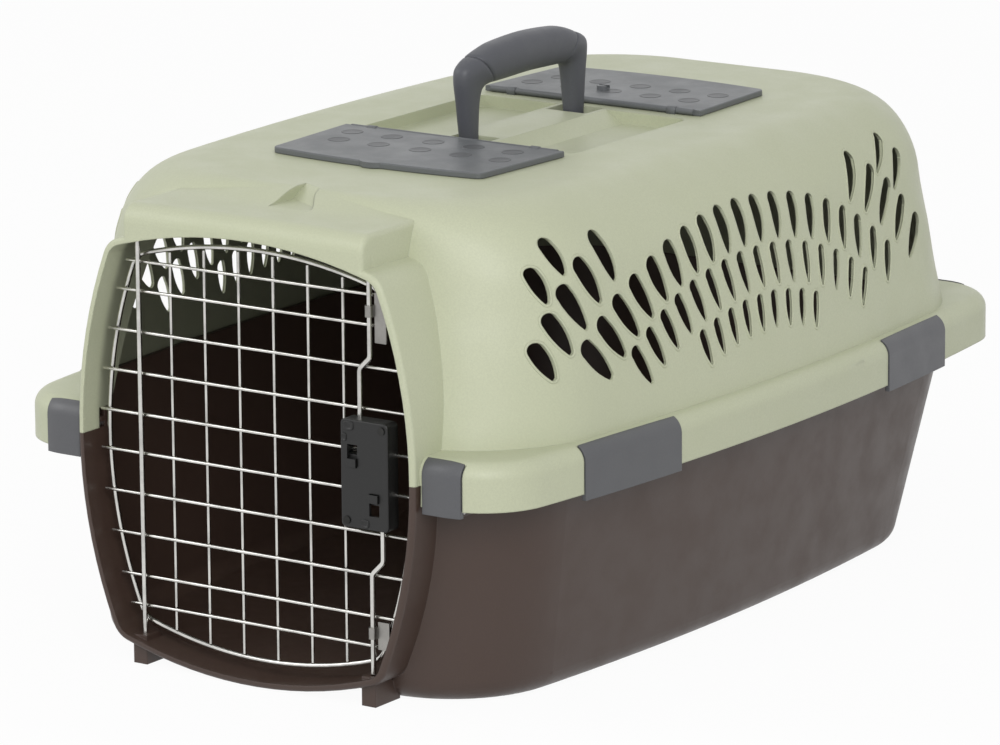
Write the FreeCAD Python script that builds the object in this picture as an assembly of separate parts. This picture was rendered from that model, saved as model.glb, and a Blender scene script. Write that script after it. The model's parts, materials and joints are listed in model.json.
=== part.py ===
import FreeCAD, Part
import math
import os

# A two-piece moulded pet carrier with a wire door, a swinging carry handle and two storage lids on its roof.
# Millimetres. X runs across the door, -Y is the door end, +Z is up and the floor is at zero.

# Plan of the flange, where the two shells meet
flange_half_width = 201.0
flange_half_length = 293.0
flange_corner = 45.0
side_bow = 22.0
flange_round = 10.0

# Heights
skirt_bottom_z = 127.5
seam_z = 140.0
ledge_top_z = 156.5
ledge_thickness = 4.0
roof_z = 294.0

# Walls and general clearances
shell_wall = 1.8
skirt_wall = 4.0
tray_wall = 3.0
seat_gap = 1.5
play = 0.6
pin_play = 0.05
weld_gap = 0.02
rod_gap = 0.3
overrun = 2.0

# Upper shell: its steps in from the flange at the ledge, and the lean of its walls up to the roof
dome_side_step = 11.0
dome_front_step = 17.0
dome_rear_step = 17.0
dome_corner = 90.0
roof_side_lean = 20.0
roof_front_lean = 31.5
roof_rear_lean = 23.0
roof_corner = 82.0
roof_side_round = 51.0
roof_end_round = 16.0
dome_section_shares = [0, 0.25, 0.5, 0.75, 1]
round_section_degrees = [20, 36, 50, 62, 72, 81, 90]

# Lower tray: its steps in from the flange at its top, and the lean of its walls down to the floor
tray_side_step = 12.0
tray_front_step = 13.0
tray_rear_step = 11.0
floor_side_lean = 22.0
floor_front_lean = 5.0
floor_rear_lean = 39.0
tray_corner = 76.0
floor_round = 14.0
rim_thickness = 3.0

# Barrel-shaped doorway and the collar around it
collar_proud = 5.0
collar_depth = 62.0
collar_skirt_depth = 16.0
collar_wall = 4.0
collar_round = 2.4
collar_gap = 0.8
mouth_side_step = 80.6
mouth_heel_draw = 25.4
mouth_heel_z = 20.0
mouth_spring_draw = 23.9
mouth_spring_z = 258.0
mouth_crown_z = 272.6
mouth_sill_z = 4.0
mouth_corner = 12.0
corner_offset_share = 0.82

# Brow above the doorway
brow_side_inset = 8.5
brow_level_z = 285.0
brow_crown = 0.8
brow_step_depth = 30.0
brow_depth = 70.0
brow_root_z = 250.0
brow_front_round = 11.0
brow_side_round = 3.0

# Dent in the step between brow and roof: the ends of its floor edge and of its back wall, as x and depth
dent_low_left = (-6.4, 62.2)
dent_low_right = (23.3, 46.7)
dent_back_left = (-5.0, 77.7)
dent_top_share = 0.42
dent_right_share = 3.0
dent_low_z = 286.2
dent_reach = 40.0

# Door sockets in the sill, which are also the front feet
foot_width = 10.0
foot_ahead = 8.2
foot_behind = 16.8
foot_top_z = 18.0
socket_floor_z = 6.0

# Vents: rounded leaves on rings around one centre; one size sets the lengths and one the widths
vent_centre_y = -18.0
vent_centre_z = -8.0
vent_radius = 263.0
vent_length = 33.0
vent_width = 13.0
vent_shoulder_share = 0.31
vent_shoulder_width_share = 0.475
vent_flank_share = -0.15
vent_flank_width_share = 0.44
vent_toe_share = -0.45
vent_toe_width_share = 0.2
vent_reach = 75.0
# count, first and last angle, first and last tilt, and shares, first and last: ring radius, length and width
vent_ring_shares = [
    (9, -16.2, 19.1, 18.6, -10.8, 0.775, 0.788, 0.74, 0.7, 0.62, 0.58),
    (8, -31.7, -2.0, 32.0, 13.5, 0.88, 0.884, 0.88, 0.84, 0.73, 0.63),
    (8, 2.3, 33.3, 11.0, -20.0, 0.887, 0.902, 0.82, 0.76, 0.63, 0.57),
    (10, -38.2, -1.0, 44.0, 6.0, 1.002, 0.997, 1.06, 0.91, 0.97, 0.85),
    (9, 3.2, 38.3, 4.0, -11.0, 0.996, 1.009, 0.9, 0.8, 0.83, 0.71),
    (3, -43.6, -36.25, 23.0, 31.0, 1.116, 1.136, 0.76, 1, 0.88, 0.92),
    (2, -32.4, -28.3, 31.0, 21.0, 1.146, 1.148, 1.04, 1, 0.97, 0.94),
    (5, 26.2, 43.2, -27.0, -34.0, 1.132, 1.132, 0.98, 0.94, 0.84, 0.88),
    (2, -37.5, -33.9, 18.0, 16.0, 1.228, 1.243, 0.71, 0.69, 0.76, 0.82),
    (2, 32.5, 36.2, -45.0, -28.0, 1.235, 1.232, 0.9, 0.83, 0.62, 0.75),
]

# Storage wells and their lids
well_wall = 2.5
well_half_width = 68.0
well_near = 87.0
well_far = 150.0
well_depth = 30.0
lid_hinge = 77.0
lid_free = 160.0
lid_bulge = 6.0
lid_hinge_half_width = 82.0
lid_free_half_width = 77.5
lid_lift = 0.4
lid_thickness = 3.5
lid_corner = 5.0
lid_edge_round = 0.8
knuckle_radius = 2.0
lid_pin_radius = 0.9
lid_pin_reach = 74.0
lug_x = 61.0
lug_width = 6.0
lug_radius = 2.4
tab_half_width = 11.0
tab_reach = 3.0
eyelet_x = -9.0
eyelet_y = 104.0
eyelet_radius = 4.2
eyelet_hole = 1.8
eyelet_height = 3.0

# Sunk panel between the lids, with the handle's ridge along its middle
panel_half_width = 80.0
panel_half_length = 66.0
panel_depth = 8.0
panel_corner = 8.0
ridge_half_width = 18.0
ridge_foot_half_width = 31.0

# Carry handle
pocket_half_width = 15.0
pocket_near = 47.5
pocket_far = 69.0
pocket_floor_z = 271.0
handle_pivot_z = 283.0
handle_pin_radius = 2.0
handle_pin_seat = 2.0
handle_foot_z = 275.0
handle_foot_outer = 63.5
handle_foot_inner = 52.0
handle_front_knee = 72.0
handle_rear_knee = 67.0
handle_knee_z = 335.0
handle_front_shoulder = 58.0
handle_rear_shoulder = 53.0
handle_shoulder_z = 344.5
handle_crown_z = 352.6
handle_inner_y = 44.0
handle_under_z = 326.0
handle_leg_width = 13.0
handle_edge_round = 4.5
grip_width = 22.0
grip_near = -43.0
grip_far = 44.0
grip_wall = 3.0
grip_round = 7.0

# Shell latches: flush plates hinged under the skirt, whose lips hook over the ledge
latch_thickness = 3.0
latch_proud = 0.8
latch_foot_z = 123.5
latch_lip_reach = 6.0
latch_pivot_depth = 7.8
latch_pivot_z = 126.2
latch_pin_radius = 1.3
latch_knuckle_radius = 2.6
latch_knuckle_share = 0.45
ear_width = 5.0
ear_gap = 0.4
side_ear_depth = 18.0
end_ear_depth = 44.0
front_side_latch_inset = 122.5
front_side_latch_width = 92.0
rear_side_latch_inset = 137.0
rear_side_latch_width = 80.0
end_latch_inset = 61.5
end_latch_width = 26.0

# Wire door
wire_radius = 1.0
frame_wire_radius = 1.5
rod_radius = 1.6
grid_pitch = 25.4
grid_end_pitch = 18.25
grid_middle_pitch = 24.2
grid_centre_z = 141.6
door_inset = 13.2
frame_inset = 8.5
frame_corner = 14.0
stub_length = 3.0
hinge_rod_inset = 11.0
latch_rod_inset = 9.0
rod_top_reach = 6.0
rod_bottom_gap = 0.4
upper_rod_jog = 7.5
lower_rod_jog = 8.0
upper_jog_z = 207.0
lower_jog_z = 84.0
rod_bend = 4.5
rod_travel = 8.0
rod_rest_gap = 0.8

# Door latch housing and its two finger slides
housing_left_reach = 16.0
housing_right_reach = 18.0
housing_bottom_z = 109.0
housing_top_z = 174.5
housing_depth = 10.5
housing_wall = 2.0
housing_round = 3.0
slide_outboard = 5.9
slide_inboard = 9.5
slide_height = 9.0
slide_gap = 0.4
slide_upper_z = 148.5
slide_lower_z = 128.5
finger_width = 6.5
finger_height = 5.0
finger_proud = 1.6
spring_radius = 2.6
spring_wall = 0.8
rivet_radius = 1.6
rivet_head_radius = 2.4
rivet_head_height = 0.7
rivet_inset = 4.4

# Rod guides pressed from sheet
guide_offset = 3.0
guide_width = 8.0
guide_sheet = 1.0
guide_upper_bottom_z = 220.0
guide_upper_top_z = 250.0
guide_lower_bottom_z = 34.0
guide_lower_top_z = 51.0
guide_loop_height = 7.0
guide_loop_wall = 1.1
guide_loop_upper_z = 239.0
guide_loop_lower_z = 44.0

# Places that follow from the flange
dome_half_width = flange_half_width - dome_side_step
dome_front = flange_half_length - dome_front_step
dome_rear = flange_half_length - dome_rear_step
roof_half_width = dome_half_width - roof_side_lean
roof_front = dome_front - roof_front_lean
roof_rear = dome_rear - roof_rear_lean
tray_half_width = flange_half_width - tray_side_step
tray_front = flange_half_length - tray_front_step
tray_rear = flange_half_length - tray_rear_step
floor_half_width = tray_half_width - floor_side_lean
floor_front = tray_front - floor_front_lean
floor_rear = tray_rear - floor_rear_lean
collar_front = flange_half_length + collar_proud
collar_back = collar_front - collar_depth
collar_skirt_back = collar_front - collar_skirt_depth
mouth_seam_half_width = flange_half_width - mouth_side_step
mouth_heel_half_width = mouth_seam_half_width - mouth_heel_draw
mouth_spring_half_width = mouth_seam_half_width - mouth_spring_draw
brow_half_width = mouth_spring_half_width - brow_side_inset
brow_step_front = collar_front - brow_step_depth
brow_back = collar_front - brow_depth
grid_depth = collar_front - door_inset
foot_front = grid_depth + foot_ahead
foot_back = grid_depth - foot_behind
front_side_latch_y = front_side_latch_inset - flange_half_length
rear_side_latch_y = flange_half_length - rear_side_latch_inset
end_latch_x = flange_half_width - end_latch_inset

# Places that follow from the doorway
upright_count = 2 * round((mouth_heel_half_width - frame_inset) / grid_pitch)
hinge_rod_x = hinge_rod_inset - mouth_heel_half_width
latch_rod_x = mouth_heel_half_width - latch_rod_inset
upper_rod_inner_x = latch_rod_x - upper_rod_jog
lower_rod_inner_x = latch_rod_x + lower_rod_jog
housing_left = latch_rod_x - housing_left_reach
housing_right = latch_rod_x + housing_right_reach
guide_left = latch_rod_x + guide_offset
guide_right = guide_left + guide_width

# Other values that follow from the sizes above
ledge_bottom_z = ledge_top_z - ledge_thickness
rim_top_z = ledge_bottom_z - (flange_round - skirt_wall)
bow_radius = (flange_half_length ** 2 + side_bow ** 2) / (2 * side_bow)
bow_centre_x = flange_half_width - bow_radius
roof_under_z = roof_z - shell_wall
frame_shift = (collar_front - flange_half_length - latch_proud) / 2
grid_y = -grid_depth
grid_face_y = grid_y - wire_radius
rod_y = grid_face_y - rod_gap - rod_radius
upright_y = grid_y + 2 * wire_radius + weld_gap
frame_wire_y = grid_y + wire_radius + weld_gap + frame_wire_radius
hole_radius = rod_radius + pin_play
X_AXIS = FreeCAD.Vector(1, 0, 0)
Z_AXIS = FreeCAD.Vector(0, 0, 1)


def vec(x, y, z):
    return FreeCAD.Vector(x, y, z)


def save(name, shape):
    """Writes one node, moved so that the origin is under the middle of the whole carrier."""
    placed = shape.copy()
    placed.translate(vec(0, frame_shift, 0))
    placed.exportStep("parts/" + name + ".step")


def box(x0, x1, y0, y1, z0, z1):
    return Part.makeBox(x1 - x0, y1 - y0, z1 - z0, vec(x0, y0, z0))


def rod(radius, start, end):
    line = end - start
    return Part.makeCylinder(radius, line.Length, start, line)


def mirrored(shape):
    """The same shape on the other side of the carrier's middle plane."""
    return shape.mirror(vec(0, 0, 0), X_AXIS)


def prism(points, travel):
    """A closed polygon pushed along a vector."""
    return Part.Face(Part.makePolygon(points + points[:1])).extrude(travel)


def level_edges(solid, z):
    """The edges of a solid that lie in the level plane at z."""
    found = []
    for edge in solid.Edges:
        bounds = edge.BoundBox
        if abs(bounds.ZMin - z) < weld_gap and abs(bounds.ZMax - z) < weld_gap:
            found.append(edge)
    return found


def upright_edges(solid):
    """The straight edges of a solid that run along Z."""
    return [edge for edge in solid.Edges if edge.BoundBox.XLength + edge.BoundBox.YLength < weld_gap]


def depth_edges(solid):
    """The straight edges of a solid that run along Y."""
    return [edge for edge in solid.Edges if edge.BoundBox.XLength + edge.BoundBox.ZLength < weld_gap]


def flange_bow(half_width):
    """The radius of a bowed long side whose middle is half_width from the centre plane."""
    return half_width - bow_centre_x


def plan(half_width, front, rear, corner, z):
    """A level outline: bowed long sides, flat ends and round corners, in eight edges."""
    half_length = (front + rear) / 2
    bow = flange_bow(half_width)
    corner_y = half_length - corner
    corner_x = bow_centre_x + math.sqrt((bow - corner) ** 2 - corner_y ** 2)
    reach = bow / (bow - corner)
    touch_x = bow_centre_x + (corner_x - bow_centre_x) * reach
    touch_y = corner_y * reach
    turn = (math.atan2(corner_y, corner_x - bow_centre_x) + math.pi / 2) / 2
    bend_x = corner_x + corner * math.cos(turn)
    bend_y = corner_y + corner * math.sin(turn)

    def arc(a, b, c):
        return Part.Arc(vec(*a, z), vec(*b, z), vec(*c, z)).toShape()

    edges = []
    for side in (1, -1):
        edges.append(arc((side * touch_x, -side * touch_y), (side * half_width, 0), (side * touch_x, side * touch_y)))
        edges.append(arc((side * touch_x, side * touch_y), (side * bend_x, side * bend_y),
                         (side * corner_x, side * half_length)))
        edges.append(Part.LineSegment(vec(side * corner_x, side * half_length, z),
                                      vec(-side * corner_x, side * half_length, z)).toShape())
        edges.append(arc((-side * corner_x, side * half_length), (-side * bend_x, side * bend_y),
                         (-side * touch_x, side * touch_y)))
    outline = Part.Wire(edges)
    outline.translate(vec(0, (rear - front) / 2, 0))
    return outline


def plan_prism(inset, z0, z1):
    """The flange's outline, drawn in by an inset, between two heights."""
    reach = flange_half_length - inset
    wire = plan(flange_half_width - inset, reach, reach, flange_corner - inset, z0)
    return Part.Face(wire).extrude(vec(0, 0, z1 - z0))


def flange_body(growth):
    """The flange's whole block with its rounded upper edge, grown by a little."""
    block = plan_prism(-growth, latch_foot_z, ledge_top_z + growth)
    return block.makeFillet(flange_round + growth, level_edges(block, ledge_top_z + growth))


def wall_reach(z, foot, top, radius):
    """How far a leaning wall of the dome reaches at a height, with a round of a radius against the roof."""
    lean = math.atan2(foot - top, roof_z - ledge_top_z)
    depth = roof_z - z
    round_depth = radius * (1 - math.sin(lean))
    slope = (foot - top) / (roof_z - ledge_top_z)
    if depth >= round_depth:
        return top + slope * depth
    centre = top + slope * round_depth - radius * math.cos(lean)
    return centre + math.sqrt(radius ** 2 - (radius - depth) ** 2)


def dome_section(z, inset):
    """The dome's level outline at a height, with its walls drawn in by an inset."""
    rise = (z - ledge_top_z) / (roof_z - ledge_top_z)
    corner = dome_corner + (roof_corner - dome_corner) * rise
    half_width = wall_reach(z, dome_half_width, roof_half_width, roof_side_round)
    front = wall_reach(z, dome_front, roof_front, roof_end_round)
    rear = wall_reach(z, dome_rear, roof_rear, roof_end_round)
    return plan(half_width - inset, front - inset, rear - inset, corner - inset, z)


def dome(inset, bottom_z):
    """The domed space of the upper shell, from its foot to its rounded roof."""
    round_z = roof_z - roof_side_round
    heights = [bottom_z + (round_z - bottom_z) * share for share in dome_section_shares]
    heights += [round_z + roof_side_round * math.sin(math.radians(turn)) for turn in round_section_degrees]
    solid = Part.makeLoft([dome_section(z, inset) for z in heights], True, False)
    solid.translate(vec(0, 0, -inset))
    return solid


def tub(inset, floor_z, top_z):
    """The tapered tub of the lower tray, with a rounded floor edge."""
    bottom = plan(floor_half_width - inset, floor_front - inset, floor_rear - inset, tray_corner - inset, floor_z)
    top = plan(tray_half_width - inset, tray_front - inset, tray_rear - inset, tray_corner - inset, top_z)
    solid = Part.makeLoft([bottom, top], True, True)
    return solid.makeFillet(floor_round - inset, level_edges(solid, floor_z))


def mouth_wire(margin, y):
    """The doorway's barrel outline at a depth, grown outwards by a margin, in four arcs."""
    shift = margin * corner_offset_share
    heel_x = mouth_heel_half_width + shift
    heel_z = mouth_heel_z - shift
    spring_x = mouth_spring_half_width + shift
    spring_z = mouth_spring_z + shift
    seam_x = mouth_seam_half_width + margin

    def arc(a, b, c):
        return Part.Arc(vec(a[0], y, a[1]), vec(b[0], y, b[1]), vec(c[0], y, c[1])).toShape()

    return Part.Wire([arc((heel_x, heel_z), (seam_x, seam_z), (spring_x, spring_z)),
                      arc((spring_x, spring_z), (0, mouth_crown_z + margin), (-spring_x, spring_z)),
                      arc((-spring_x, spring_z), (-seam_x, seam_z), (-heel_x, heel_z)),
                      arc((-heel_x, heel_z), (0, mouth_sill_z - margin), (heel_x, heel_z))])


def mouth_prism(margin, corner, front, back):
    """The doorway's outline pushed from front to back, with rounded corners."""
    block = Part.Face(mouth_wire(margin, -front)).extrude(vec(0, front - back, 0))
    return block.makeFillet(corner, depth_edges(block))


def collar_block():
    """The collar's outer body, with its front edge rounded."""
    block = mouth_prism(collar_wall, mouth_corner + collar_wall, collar_front, collar_back)
    front = []
    for edge in block.Edges:
        bounds = edge.BoundBox
        if bounds.YLength < weld_gap and abs(bounds.YMin + collar_front) < weld_gap:
            front.append(edge)
    return block.makeFillet(collar_round, front)


def brow_section(x, inset, level_z, back_z):
    """The brow's side view at one x: front, rounded edge, level top and a smooth step up to the roof."""
    front = -collar_front + inset
    turn = brow_front_round - inset
    bend = turn - turn / math.sqrt(2)
    middle = -(brow_step_front + brow_back) / 2
    step = Part.BezierCurve()
    step.setPoles([vec(x, -brow_step_front, level_z), vec(x, middle, level_z), vec(x, middle, back_z),
                   vec(x, -brow_back, back_z)])
    edges = [Part.LineSegment(vec(x, front, brow_root_z), vec(x, front, level_z - turn)).toShape(),
             Part.Arc(vec(x, front, level_z - turn), vec(x, front + bend, level_z - bend),
                      vec(x, front + turn, level_z)).toShape(),
             Part.LineSegment(vec(x, front + turn, level_z), vec(x, -brow_step_front, level_z)).toShape(),
             step.toShape(),
             Part.LineSegment(vec(x, -brow_back, back_z), vec(x, -brow_back, brow_root_z)).toShape(),
             Part.LineSegment(vec(x, -brow_back, brow_root_z), vec(x, front, brow_root_z)).toShape()]
    return Part.Wire(edges)


def brow_block(inset):
    """The hood over the doorway: level at its sides, crowned and blended into the roof in the middle."""
    half = brow_half_width - inset
    side_z = brow_level_z - inset
    middle_z = side_z + brow_crown
    block = Part.makeLoft([brow_section(-half, inset, side_z, side_z),
                           brow_section(0, inset, middle_z, roof_z - inset),
                           brow_section(half, inset, side_z, side_z)], True)
    if inset:
        return block
    rounded = []
    for edge in block.Edges:
        size = edge.BoundBox
        if size.XLength < weld_gap and size.ZMax > brow_root_z + weld_gap and size.YMin < -brow_back - weld_gap:
            rounded.append(edge)
    return block.makeFillet(brow_side_round, rounded)


def brow_dent(drop):
    """The small scoop in the step behind the brow, open to the front, moved down and back and widened by drop.
    Its right side leans inwards, so it is widened more there."""
    top_z = roof_z + overrun

    def corner(spot, z):
        x, depth = spot
        return vec(x, depth - collar_front, z)

    low_left = corner(dent_low_left, dent_low_z)
    low_right = corner(dent_low_right, dent_low_z)
    back_left = corner(dent_back_left, top_z)
    back_right = back_left + (low_right - low_left) * dent_top_share
    wider = (low_right - low_left).normalize() * drop
    right_wider = wider * dent_right_share
    cutter = prism([low_left - wider, low_right + right_wider, back_right + right_wider, back_left - wider],
                   vec(0, -dent_reach, 0))
    cutter.translate(vec(0, drop, -drop))
    return cutter


def leaf(y, z, length, width, tilt_deg):
    """A vent cutter on the right side: broad and round above, narrow and blunt below, tilted in its own plane."""
    x = dome_half_width - vent_reach

    def spot(side, height_share, width_share):
        return vec(x, side * width * width_share, length * height_share)

    def flank(side):
        return [spot(side, vent_shoulder_share, vent_shoulder_width_share),
                spot(side, vent_flank_share, vent_flank_width_share), spot(side, vent_toe_share, vent_toe_width_share)]

    right = flank(1)
    left = flank(-1)
    arcs = [(left[0], vec(x, 0, length / 2), right[0]), right, (right[2], vec(x, 0, -length / 2), left[2]), left[::-1]]
    outline = Part.Wire([Part.Arc(*arc).toShape() for arc in arcs])
    cutter = Part.Face(outline).extrude(vec(2 * vent_reach, 0, 0))
    cutter.rotate(vec(0, 0, 0), X_AXIS, tilt_deg)
    cutter.translate(vec(0, y, z))
    return cutter


def vents():
    """All vent cutters of the right side."""
    cutters = []
    for count, angle, last_angle, tilt, last_tilt, ring, last_ring, length, last_length, width, last_width in (
            vent_ring_shares):
        for index in range(count):
            share = index / (count - 1)
            turn = math.radians(angle + (last_angle - angle) * share)
            radius = vent_radius * (ring + (last_ring - ring) * share)
            cutters.append(leaf(vent_centre_y + radius * math.sin(turn), vent_centre_z + radius * math.cos(turn),
                                vent_length * (length + (last_length - length) * share),
                                vent_width * (width + (last_width - width) * share),
                                tilt + (last_tilt - tilt) * share))
    return cutters


def latch_places():
    """Name, width, ear depth, point on the flange and outward angle of each shell latch."""
    places = []
    for row, y, width in (("front", front_side_latch_y, front_side_latch_width),
                          ("rear", rear_side_latch_y, rear_side_latch_width)):
        turn = math.asin(y / bow_radius)
        x = bow_centre_x + bow_radius * math.cos(turn)
        degrees = math.degrees(turn)
        places.append((row + "_right_side_latch", width, side_ear_depth, vec(x, y, 0), degrees))
        places.append((row + "_left_side_latch", width, side_ear_depth, vec(-x, y, 0), math.degrees(math.pi) - degrees))
    for row, end in (("front", -1), ("rear", 1)):
        for hand, side in (("right", 1), ("left", -1)):
            centre = vec(side * end_latch_x, end * flange_half_length, 0)
            places.append((row + "_" + hand + "_end_latch", end_latch_width, end_ear_depth, centre,
                           math.degrees(end * math.pi / 2)))
    return places


def placed(shape, centre, degrees):
    """Moves a shape from the latch's own frame, whose X points outwards, to its place on the flange."""
    moved = shape.copy()
    moved.rotate(vec(0, 0, 0), Z_AXIS, degrees)
    moved.translate(centre)
    return moved


def latch_knuckle_half(width):
    return width * latch_knuckle_share / 2


def latch_pivot(y):
    return vec(-latch_pivot_depth, y, latch_pivot_z)


def latch_plate(width, centre, degrees, skin):
    """One latch: a plate that follows the flange up and over its rounded edge, with a hinge knuckle."""
    half = width / 2
    span = box(-latch_lip_reach, overrun, -half, half, latch_foot_z, ledge_top_z + overrun)
    plate = skin.common(placed(span, centre, degrees))
    knuckle_half = latch_knuckle_half(width)
    knuckle = rod(latch_knuckle_radius, latch_pivot(-knuckle_half), latch_pivot(knuckle_half))
    web = box(-latch_pivot_depth, -latch_thickness / 2, -knuckle_half, knuckle_half,
              latch_pivot_z - latch_knuckle_radius, latch_pivot_z)
    bore = rod(latch_pin_radius + pin_play, latch_pivot(-half), latch_pivot(half))
    solid = plate.fuse(placed(knuckle.fuse(web), centre, degrees)).cut(placed(bore, centre, degrees))
    return solid.removeSplitter()


def latch_rooms():
    """What the skirt and ledge lose for the latches: a seat that each plate and lip sink into."""
    core = flange_body(latch_proud - latch_thickness - play)
    rooms = []
    for name, width, depth, centre, degrees in latch_places():
        half = width / 2 + play
        span = box(-latch_lip_reach - play, overrun, -half, half, latch_foot_z, ledge_top_z + overrun)
        rooms.append(placed(span, centre, degrees).cut(core))
    return rooms


def latch_ears(width, depth):
    """The two tray ears that hold one latch's pin."""
    near = latch_knuckle_half(width) + ear_gap
    parts = []
    for side in (1, -1):
        low = min(side * near, side * (near + ear_width))
        ear = rod(latch_knuckle_radius, latch_pivot(low), latch_pivot(low + ear_width))
        arm = box(-depth, -latch_pivot_depth, low, low + ear_width,
                  latch_pivot_z - latch_knuckle_radius, latch_pivot_z + latch_knuckle_radius)
        parts.append(ear.fuse(arm))
    bore_reach = near + ear_width
    bore = rod(latch_pin_radius + pin_play, latch_pivot(-bore_reach), latch_pivot(bore_reach))
    return [part.cut(bore) for part in parts]


def latch_pin(width):
    reach = latch_knuckle_half(width) + ear_gap + ear_width
    return rod(latch_pin_radius, latch_pivot(-reach), latch_pivot(reach))


def panel_supports():
    """The underside of the sunk panel and of its ridge, one wall below their upper faces."""
    low = roof_z - panel_depth - shell_wall
    outer = panel_half_width + shell_wall
    flank = ridge_foot_half_width - ridge_half_width
    points = [vec(-outer, 0, roof_under_z), vec(-outer, 0, low), vec(-ridge_foot_half_width, 0, low),
              vec(-ridge_foot_half_width + flank, 0, roof_under_z), vec(ridge_half_width, 0, roof_under_z),
              vec(ridge_foot_half_width, 0, low), vec(outer, 0, low), vec(outer, 0, roof_under_z)]
    half = panel_half_length + shell_wall
    left = prism(points[:4], vec(0, 2 * half, 0))
    right = prism(points[4:], vec(0, 2 * half, 0))
    left.translate(vec(0, -half, 0))
    right.translate(vec(0, -half, 0))
    return [left, right]


def panel_cutters():
    """The two sunk halves of the panel beside the handle's ridge."""
    floor_z = roof_z - panel_depth
    top_z = roof_z + overrun
    points = [vec(ridge_half_width, 0, roof_z), vec(ridge_foot_half_width, 0, floor_z),
              vec(panel_half_width, 0, floor_z), vec(panel_half_width, 0, top_z),
              vec(ridge_half_width, 0, top_z)]
    right = prism(points, vec(0, 2 * panel_half_length, 0))
    right.translate(vec(0, -panel_half_length, 0))
    corners = [edge for edge in upright_edges(right) if edge.BoundBox.XMin > panel_half_width - weld_gap]
    right = right.makeFillet(panel_corner, corners)
    return [right, mirrored(right)]


def lid_pivot(x, end):
    return vec(x, end * lid_hinge, roof_z + lid_lift + knuckle_radius)


def lid_lugs(end):
    """Two lugs on the roof that hold one lid's pin."""
    lugs = []
    for side in (1, -1):
        low = side * lug_x - lug_width / 2
        high = low + lug_width
        base = box(low, high, end * lid_hinge - lug_radius, end * lid_hinge + lug_radius,
                   roof_under_z, lid_pivot(0, end).z)
        lugs.append(base.fuse(rod(lug_radius, lid_pivot(low, end), lid_pivot(high, end))))
    return lugs


def lid_pin_hole(end, radius):
    return rod(radius, lid_pivot(-lid_pin_reach, end), lid_pivot(lid_pin_reach, end))


def lid(end):
    """One storage lid, front or rear: a tapered plate with a bowed free edge and a hinge barrel."""
    low = roof_z + lid_lift
    near = end * lid_hinge
    far = end * lid_free
    edges = [Part.LineSegment(vec(-lid_hinge_half_width, near, low), vec(lid_hinge_half_width, near, low)).toShape(),
             Part.LineSegment(vec(lid_hinge_half_width, near, low), vec(lid_free_half_width, far, low)).toShape(),
             Part.Arc(vec(lid_free_half_width, far, low), vec(0, far + end * lid_bulge, low),
                      vec(-lid_free_half_width, far, low)).toShape(),
             Part.LineSegment(vec(-lid_free_half_width, far, low),
                              vec(-lid_hinge_half_width, near, low)).toShape()]
    plate = Part.Face(Part.Wire(edges)).extrude(vec(0, 0, lid_thickness))
    free_corners = [edge for edge in upright_edges(plate) if end * edge.BoundBox.YMin > end * (near + far) / 2]
    plate = plate.makeFillet(lid_corner, free_corners)
    rim = [edge for edge in level_edges(plate, low + lid_thickness)
           if abs(edge.BoundBox.YMin - near) > weld_gap or edge.BoundBox.YLength > weld_gap]
    plate = plate.makeFillet(lid_edge_round, rim)
    barrel = rod(knuckle_radius, lid_pivot(-lid_hinge_half_width + lid_corner, end),
                 lid_pivot(lid_hinge_half_width - lid_corner, end))
    solid = plate.fuse(barrel)
    if end < 0:
        tab_y = far - lid_bulge + tab_half_width - tab_reach
        solid = solid.fuse(Part.makeCylinder(tab_half_width, lid_thickness, vec(0, tab_y, low)))
    else:
        centre = vec(eyelet_x, eyelet_y, low + lid_thickness / 2)
        solid = solid.fuse(Part.makeCylinder(eyelet_radius, lid_thickness / 2 + eyelet_height, centre))
    cuts = [lid_pin_hole(end, lid_pin_radius + pin_play)]
    for side in (1, -1):
        half = lug_width / 2 + ear_gap
        room = lug_radius + play
        cuts.append(box(side * lug_x - half, side * lug_x + half, near - room, near + room,
                        low - overrun, low + lid_thickness + overrun))
    if end > 0:
        hole = rod(eyelet_hole, vec(eyelet_x - eyelet_radius, eyelet_y, low + lid_thickness + eyelet_height / 2),
                   vec(eyelet_x + eyelet_radius, eyelet_y, low + lid_thickness + eyelet_height / 2))
        cuts.append(hole)
    return solid.cut(cuts).removeSplitter()


def handle_pin(side):
    return rod(handle_pin_radius, vec(0, side * (pocket_near - handle_pin_seat), handle_pivot_z),
               vec(0, side * (pocket_far + handle_pin_seat), handle_pivot_z))


def handle_pin_bore(side):
    reach = handle_pin_seat + play
    return rod(handle_pin_radius + pin_play, vec(0, side * (pocket_near - reach), handle_pivot_z),
               vec(0, side * (pocket_far + reach), handle_pivot_z))


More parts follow.
